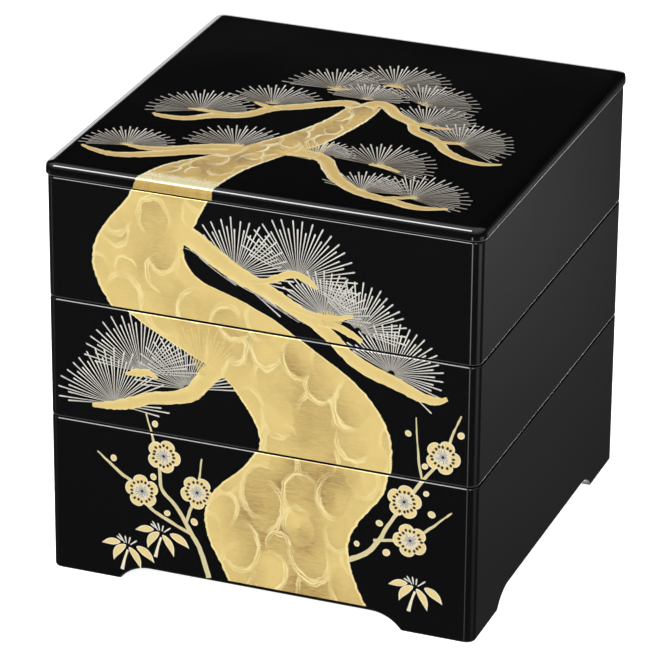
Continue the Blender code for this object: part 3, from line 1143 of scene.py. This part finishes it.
# %% Plum wood and buds
PLUM_STEMS = (
    ((-23.3, 8.3, 1.2), (-27, 20.5, 1.1), (-31.5, 28.5, 1.0), (-38.5, 40, 0.9), (-45, 47, 0.8),
     (-46, 56.5, 0.7), (-48.5, 69, 0.6), (-52, 82, 0.35)),
    ((-31.5, 28, 0.8), (-43, 33, 0.8), (-51.5, 38, 0.8), (-56, 46, 0.8), (-65, 52, 0.7), (-75, 60, 0.35)),
    ((-34, 32.5, 0.7), (-31.5, 40.5, 0.7), (-28.5, 49, 0.6), (-26.4, 65, 0.35)),
    ((40, 29, 1.2), (48.5, 34, 1.1), (54, 40.5, 1.0), (58.5, 49, 0.9), (66, 61, 0.8), (74, 73.5, 0.8),
     (83, 86, 0.7), (86.5, 96.5, 0.6), (90.3, 106, 0.35)),
    ((73.5, 73.5, 0.5), (71.8, 82, 0.5), (70.4, 102, 0.3)),
    ((52, 41, 0.7), (60, 42.5, 0.7), (68.5, 44, 0.7), (77, 51, 0.6), (87, 60.5, 0.35)),
)
BUDS = (
    (-67.4, 58), (-47.9, 77.7), (-48.9, 52.3), (-42.6, 36), (-30, 34.1), (67, 94), (90.3, 97),
    (74.6, 80), (75.4, 67.3), (78, 58), (54.7, 49.6), (44.6, 38), (58, 36.3),
)
for number, stem in enumerate(PLUM_STEMS):
    lay("front_stems", ribbon(stem, 5, wobble=0.35), STEM_LIFT + STROKE_STEP * number)
for place in BUDS:
    size = chance.uniform(1.4, 1.8)
    angle = chance.uniform(0, 3)
    lay("front_outlines", ROUND, OUTLINE_LIFT, place, angle, (size, size * 0.9))
    lay("front_blossom", ROUND, BLOSSOM_LIFT, place, angle, (size - OUTLINE, size * 0.9 - OUTLINE))
print(len(PLUM_STEMS), "stems and", len(BUDS), "buds")

# %% [markdown]
# ### Bamboo grass
# Bamboo grass is a bunch of pointed leaves round a short stalk, with a few silver wisps above. A leaf
# could be a stretched disc, but it would be round at the tip. As a stroke that swells and closes to a
# point, and bends a little sideways, it keeps a leaf's shape. It is printed twice, as the petals are.

# %% Bamboo grass
GRASS = ((-45.7, 26.2), (-61.5, 17.2), (71, 22.8))
LEAF_SHAPE = ((0.0, 0.12), (0.12, 0.62), (0.38, 1.0), (0.65, 0.8), (0.88, 0.3), (1.0, 0.02))
LEAVES = (                   # start of the leaf from the middle, its direction, length, half width and bend
    (-3.3, 0.6, -166, 8.8, 1.65, -0.5), (-0.7, -0.3, -126, 10.0, 1.85, -1.3),
    (0.7, -1.2, -62, 11.0, 1.65, 1.0), (4.3, -0.2, -34, 10.4, 1.9, 0.9),
)
LEAF_INSET = 0.6             # how far the inner leaf starts inside the outer one, in mm
LEAF_SHORTER = 1.6           # and how much shorter it is
THINNEST = 0.02
LEAF_PLAY, WISP_PLAY = 4.0, 6.0     # how many degrees leaves and wisps stray from their directions
WISPS = (                    # start of the wisp from the middle, its direction and length
    (-1.2, 0.6, 128, 5.0), (-0.5, 0.8, 102, 3.6), (0.6, 0.6, 80, 3.4), (1.4, 0.2, 38, 4.6),
    (-2.2, 1.6, 150, 3.4),
)
WISP = strip([((-0.2, 0.0), (0.2, 0.0)), ((-0.38, 0.75), (0.38, 0.75)), ((-0.2, 1.0), (0.2, 1.0))])


def leaf(x, y, angle, length, half, bend):
    """A pointed leaf that bends sideways a little, as points of (x, y, half width)."""
    lean = math.radians(angle)
    points = []
    for along, wide in LEAF_SHAPE:
        side = bend * math.sin(math.pi * along)
        forward = length * along
        points.append((
            x + forward * math.cos(lean) - side * math.sin(lean),
            y + forward * math.sin(lean) + side * math.cos(lean), half * wide,
        ))
    return points


def inner_leaf(x, y, angle, length, half, bend):
    """The smaller leaf that is printed over a leaf."""
    lean = math.radians(angle)
    right, up = LEAF_INSET * math.cos(lean), LEAF_INSET * math.sin(lean)
    points = leaf(x, y, angle, length - LEAF_SHORTER, half - OUTLINE, bend)
    return [(a + right, b + up, max(wide, THINNEST)) for a, b, wide in points]


for x, y in GRASS:
    stalk = ((x + 0.2, y - 2.5, 0.5), (x - 1.3, y - 7, 0.55), (x - 2.6, y - 12.5, 0.85))
    lay("front_outlines", ribbon(stalk, 4), STEM_LIFT)
    for start_x, start_y, angle, length, half, bend in LEAVES:
        shape = (x + start_x, y + start_y, angle + chance.uniform(-LEAF_PLAY, LEAF_PLAY), length, half, bend)
        lay("front_outlines", ribbon(leaf(*shape), 3), OUTLINE_LIFT)
        lay("front_blossom", ribbon(inner_leaf(*shape), 3), BLOSSOM_LIFT)
    for start_x, start_y, angle, length in WISPS:
        lean = math.radians(angle + chance.uniform(-WISP_PLAY, WISP_PLAY) - 90)
        place = (x + start_x, y + start_y)
        lay("front_hearts", WISP, HEART_LIFT, place, lean, (1.0, length * chance.uniform(0.85, 1.0)))
print(len(GRASS), "bunches of", len(LEAVES), "leaves")

# %% [markdown]
# ### Folding the sheets on
# Print follows the box over its soft edges. A sheet could be shrinkwrapped on, but that slides its points
# about. So a fold is described in section: a line up the front of a piece, round its soft edges. Its
# points stand where the lacquer's own flats and round steps meet, so the ink follows the lacquer exactly.
# Each sheet is bisected at those points first, because a face can only bend where it has an edge.

# %% Sections to fold along
def section(points, start):
    """Points (y, z) up a front, with the sheet's height at each and the way out of the surface."""
    points = [Vector(point) for point in points]
    ways = []
    for a, b in zip(points, points[1:]):
        along = (b - a).normalized()
        ways.append(Vector((-along.y, along.x)))
    outs = [ways[0]] + [(a + b).normalized() for a, b in zip(ways, ways[1:])] + [ways[-1]]
    height = start
    fold = [(height, points[0], outs[0])]
    for a, b, out in zip(points, points[1:], outs[1:]):
        height += (b - a).length
        fold.append((height, b, out))
    return fold


SOFT = EDGE / MM
QUARTER = [math.pi / 2 * step / EDGE_STEPS for step in range(EDGE_STEPS + 1)]


def lower_edge(face, low):
    """The soft edge under a front, from below up to the flat face."""
    return [(face + SOFT - SOFT * math.sin(a), low + SOFT - SOFT * math.cos(a)) for a in QUARTER]


def front_section(low, rim):
    """A tray's front, from under its lower soft edge to the top of its upper one."""
    face = -(SIDE / 2 - INK_ROOM) / MM
    lower = lower_edge(face, low)
    upper = [(face + SOFT - SOFT * math.cos(a), rim - SOFT + SOFT * math.sin(a)) for a in QUARTER]
    arc = sum((Vector(b) - Vector(a)).length for a, b in zip(lower, lower[1:]))
    return section(lower + upper, low + SOFT - arc)


def lid_section():
    """The lid's front, up its skirt, over its border and on over the flat top."""
    seat, high = (z / MM for z in SEAMS["lid"])
    face = -(LID_SIDE / 2 - INK_ROOM) / MM
    top = high - INK_ROOM / MM
    border = [(face + inner / MM, top - fall / MM) for inner, fall in lid_border()]
    whole = section(lower_edge(face, seat) + border + [(LID_SIDE / 2 / MM, top)], 0.0)
    border_end = whole[-2]
    shift = border_end[1].x - border_end[0]
    return [(height + shift, point, out) for height, point, out in whole]


def folded(fold, height):
    """Place and way out at a height of the sheet."""
    for (h0, p0, n0), (h1, p1, n1) in zip(fold, fold[1:]):
        if height <= h1:
            break
    share = (height - h0) / (h1 - h0)
    return p0.lerp(p1, share), n0.lerp(n1, share)


FOLDS = {"lid": lid_section()}
for tier in ("top_tier", "middle_tier", "bottom_tier"):
    low, rim = SEAMS[tier]
    FOLDS[tier] = front_section(low / MM, rim / MM)
for piece_name, fold in FOLDS.items():
    print(piece_name, "sheet from", round(fold[0][0], 2), "to", round(fold[-1][0], 2))

# %% Cut, fold and thicken
INK_UNDER = 0.3              # how far the print runs round a piece's lower soft edge, in mm
INK_OVER = 0.45              # and round a tray's upper one, where it leaves the white line of light bare


def print_on(part, sheet, name, material):
    """Cut a sheet to one piece's front, fold it on and give the ink its thickness."""
    fold = FOLDS[part]
    mesh = bpy.data.meshes.new(name)
    sheets[sheet].to_mesh(mesh)
    film = bpy.data.objects.new(name, mesh)
    bpy.context.scene.collection.objects.link(film)
    select_only(film)
    bpy.ops.object.mode_set(mode="EDIT")
    low = fold[EDGE_STEPS][0] - INK_UNDER
    high = fold[-1][0] if part == "lid" else fold[EDGE_STEPS + 1][0] + INK_OVER
    spread = [vertex.co.y for vertex in mesh.vertices]
    creases = [(height, False, False) for height, _, _ in fold[1:-1]]
    for height, clear_below, clear_above in ((low, True, False), (high, False, True), *creases):
        if min(spread) < height < max(spread):
            bpy.ops.mesh.select_all(action="SELECT")
            bpy.ops.mesh.bisect(
                plane_co=(0.0, height, 0.0), plane_no=(0.0, 1.0, 0.0), threshold=1e-5,
                clear_inner=clear_below, clear_outer=clear_above,
            )
    bpy.ops.object.mode_set(mode="OBJECT")
    for vertex in film.data.vertices:
        place, out = folded(fold, vertex.co.y)
        lift = vertex.co.z
        vertex.co = Vector((vertex.co.x, place.x + out.x * lift, place.y + out.y * lift)) * MM
    apply_step(film, "ink", "SOLIDIFY", thickness=FILM * MM, offset=-1.0)
    smooth_flats(film)
    settle(film, material)

# %% [markdown]
# ## Inks
# Gold print is bronze powder in a clear binder: it shines like metal but scatters widely, so it stays
# pale and warm from every side. One flat colour would look like a sticker. So the stored shade turns the
# gold brown, broken on the fronts by fine level streaks about half a millimetre apart, as a dry brush
# leaves them. The stored light turns it to pale cream, in lines that run along the stored stroke, a little
# under half a millimetre apart, one for each bunch of bristles.

# %% Brush marks
BRISTLE = 0.45               # distance between bunches of bristles, in mm, as stored in the brush
BRISTLE_RUN = 8.0            # and how far one bunch's line runs before it changes


def bristle_light(tree):
    """The stored light, broken into bristle lines along the stored stroke."""
    light = add_node(tree, "ShaderNodeAttribute", attribute_name="light")
    brush = add_node(tree, "ShaderNodeAttribute", attribute_name="brush")
    along_brush = add_node(tree, "ShaderNodeMapping", {
        "Vector": brush.outputs["Vector"], "Scale": (1 / BRISTLE, 1 / BRISTLE_RUN, 1.0),
    })
    bristles = add_node(tree, "ShaderNodeTexNoise", {
        "Vector": along_brush.outputs["Vector"], "Scale": 1.0, "Detail": 1.0,
    })
    loaded = add_node(tree, "ShaderNodeMapRange", {
        "Value": bristles.outputs["Fac"], "From Min": 0.38, "From Max": 0.58, "To Min": 0.2, "To Max": 1.0,
    })
    pale = add_node(tree, "ShaderNodeMath", {
        0: light.outputs["Fac"], 1: loaded.outputs["Result"],
    }, operation="MULTIPLY")
    return pale.outputs[0]


def streaky_shade(tree, place):
    """The stored shade, broken by level dry streaks, with a slow drift of its own."""
    stretch = add_node(tree, "ShaderNodeMapping", {
        "Vector": place, "Scale": (1 / (4.5 * MM), 1 / (4.5 * MM), 1 / (0.6 * MM)),
    })
    streaks = add_node(tree, "ShaderNodeTexNoise", {
        "Vector": stretch.outputs["Vector"], "Scale": 1.0, "Detail": 4.0, "Distortion": 1.2,
    })
    clouds = add_node(tree, "ShaderNodeTexNoise", {"Vector": place, "Scale": 1 / (14.0 * MM), "Detail": 3.0})
    shade = add_node(tree, "ShaderNodeAttribute", attribute_name="shade")
    break_up = add_node(tree, "ShaderNodeMapRange", {
        "Value": streaks.outputs["Fac"], "From Min": 0.3, "From Max": 0.7, "To Min": 0.6, "To Max": 1.4,
    })
    drift = add_node(tree, "ShaderNodeMapRange", {
        "Value": clouds.outputs["Fac"], "From Min": 0.3, "From Max": 0.7, "To Min": -0.08, "To Max": 0.08,
    })
    share = add_node(tree, "ShaderNodeMath", {
        0: shade.outputs["Fac"], 1: break_up.outputs["Result"], 2: drift.outputs["Result"],
    }, operation="MULTIPLY_ADD", use_clamp=True)
    return share.outputs[0]

# %% Gold print
MIX_FROM, MIX_TO, MIXED = 6, 7, 2     # a Mix node's two colour inputs and its colour output, by number


def gold_print(name, gold, brown, cream):
    """Bronze powder print that follows the stored shade, light and brush strokes."""
    material, tree, shader = new_material(name)
    place = add_node(tree, "ShaderNodeTexCoord").outputs["Object"]
    shaded = add_node(tree, "ShaderNodeMix", {
        "Factor": streaky_shade(tree, place), MIX_FROM: linear(gold), MIX_TO: linear(brown),
    }, data_type="RGBA")
    colour = add_node(tree, "ShaderNodeMix", {
        "Factor": bristle_light(tree), MIX_FROM: shaded.outputs[MIXED], MIX_TO: linear(cream),
    }, data_type="RGBA")
    grain = uneven_gloss(tree, place, 0.5 * MM, 2.0, 0.34, 0.5)
    fill(shader, {"Base Color": colour.outputs[MIXED], "Roughness": grain, "Metallic": 0.65})
    return material


GOLD = gold_print("gold_powder_print", "#EFD489", "#9A7642", "#FFEDAC")
# Lid gold: a darker copy of the front gold, as painted shade for the lid's dimmer top, with a brighter cream
SHADED_LID_GOLD = gold_print("lid_gold_powder_print", "#DEBA5E", "#8A6028", "#FFF5CA")
CREAM_GOLD = gold_print("pale_gold_brushwork", "#F1DA94", "#E8CE88", "#FAEBB4")
FAINT_GOLD = gold_print("faint_gold_brushwork", "#F0D68C", "#E4CA82", "#FAEBB4")
BLOSSOM_GOLD = gold_print("blossom_gold_print", "#F5DE9C", "#E4C484", "#FBEBB4")
OUTLINE_GOLD = gold_print("pale_outline_print", "#FBF1D2", "#EADBAE", "#FFFAE6")
STEM_GOLD = gold_print("olive_gold_print", "#E4D8A8", "#C6B67E", "#F6EFC8")
print(len(GOLD.node_tree.nodes), "nodes in each gold")

# %% [markdown]
# ### Silver print
# Silver print is aluminium powder in the same binder: pale, a little warm, and thin in places, where the
# black shows through. A thin film could be made see-through, but that would have to be sorted against the
# films below it, so the stored shade turns it to the grey that the eye sees there.

# %% Silver print
def silver_print(name, pale, drifted, worn):
    """Aluminium powder print: pale, a little warm, and grey where the stored shade says it is thin."""
    material, tree, shader = new_material(name)
    place = add_node(tree, "ShaderNodeTexCoord").outputs["Object"]
    clouds = add_node(tree, "ShaderNodeTexNoise", {"Vector": place, "Scale": 1 / (6.0 * MM), "Detail": 3.0})
    shade = add_node(tree, "ShaderNodeAttribute", attribute_name="shade")
    powder = add_node(tree, "ShaderNodeMix", {
        "Factor": clouds.outputs["Fac"], MIX_FROM: linear(drifted), MIX_TO: linear(pale),
    }, data_type="RGBA")
    colour = add_node(tree, "ShaderNodeMix", {
        "Factor": shade.outputs["Fac"], MIX_FROM: powder.outputs[MIXED], MIX_TO: linear(worn),
    }, data_type="RGBA")
    fill(shader, {"Base Color": colour.outputs[MIXED], "Metallic": 0.6, "Roughness": 0.4})
    return material


SILVER = silver_print("silver_powder_print", "#F6F3EC", "#D2CEC5", "#8E8A80")
# Lid silver: a brighter copy of the front silver, as painted light making up for the dimmer lid top
BRIGHTENED_LID_SILVER = silver_print("lid_silver_print_painted_light", "#FFFDF6", "#DAD4C6", "#746755")
print(len(SILVER.node_tree.nodes), "nodes in each silver")

# %% [markdown]
# ### Black ink
# The stamens and their dots are plain black ink over gold and silver. It could share the lacquer, but
# ink is duller, so it gets a rougher shine of its own with a fine grain.

# %% Black ink
def black_ink():
    """Black ink for the stamens."""
    material, tree, shader = new_material("black_stamen_ink")
    place = add_node(tree, "ShaderNodeTexCoord").outputs["Object"]
    grain = uneven_gloss(tree, place, 0.6 * MM, 2.0, 0.25, 0.4)
    fill(shader, {"Base Color": linear("#17130F"), "Roughness": grain})
    return material


INK = black_ink()

# %% [markdown]
# ### Printing
# A printer runs each colour over the whole box in turn. Here each colour on each piece becomes its own
# film, because a film has to lift off with the tray or the lid that carries it.

# %% Print everything
PINE_PRINTS = (
    ("needles", SILVER, "silver_print"), ("branches", GOLD, "gold_print"),
    ("faint_fans", FAINT_GOLD, "gold_print"),
)
PLUM_PRINTS = (
    ("stems", STEM_GOLD, "gold_print"), ("outlines", OUTLINE_GOLD, "gold_print"),
    ("blossom", BLOSSOM_GOLD, "gold_print"), ("hearts", SILVER, "silver_print"),
    ("dots", INK, "black_lacquer"),
)
LID_PRINTS = (
    ("needles", BRIGHTENED_LID_SILVER, "silver_print"), ("branches", SHADED_LID_GOLD, "gold_print"),
    ("trunk", SHADED_LID_GOLD, "gold_print"), ("tufts", CREAM_GOLD, "gold_print"),
)
for tier, prints in (
    ("top_tier", PINE_PRINTS), ("middle_tier", PINE_PRINTS + PLUM_PRINTS), ("bottom_tier", PLUM_PRINTS),
):
    print_on(tier, "front_trunk_" + tier, tier + "_trunk", GOLD)
    for figure, ink, slot in prints:
        print_on(tier, "front_" + figure, tier + "_" + figure, ink)
for figure, ink, slot in LID_PRINTS:
    print_on("lid", "lid_" + figure, "lid_" + figure, ink)
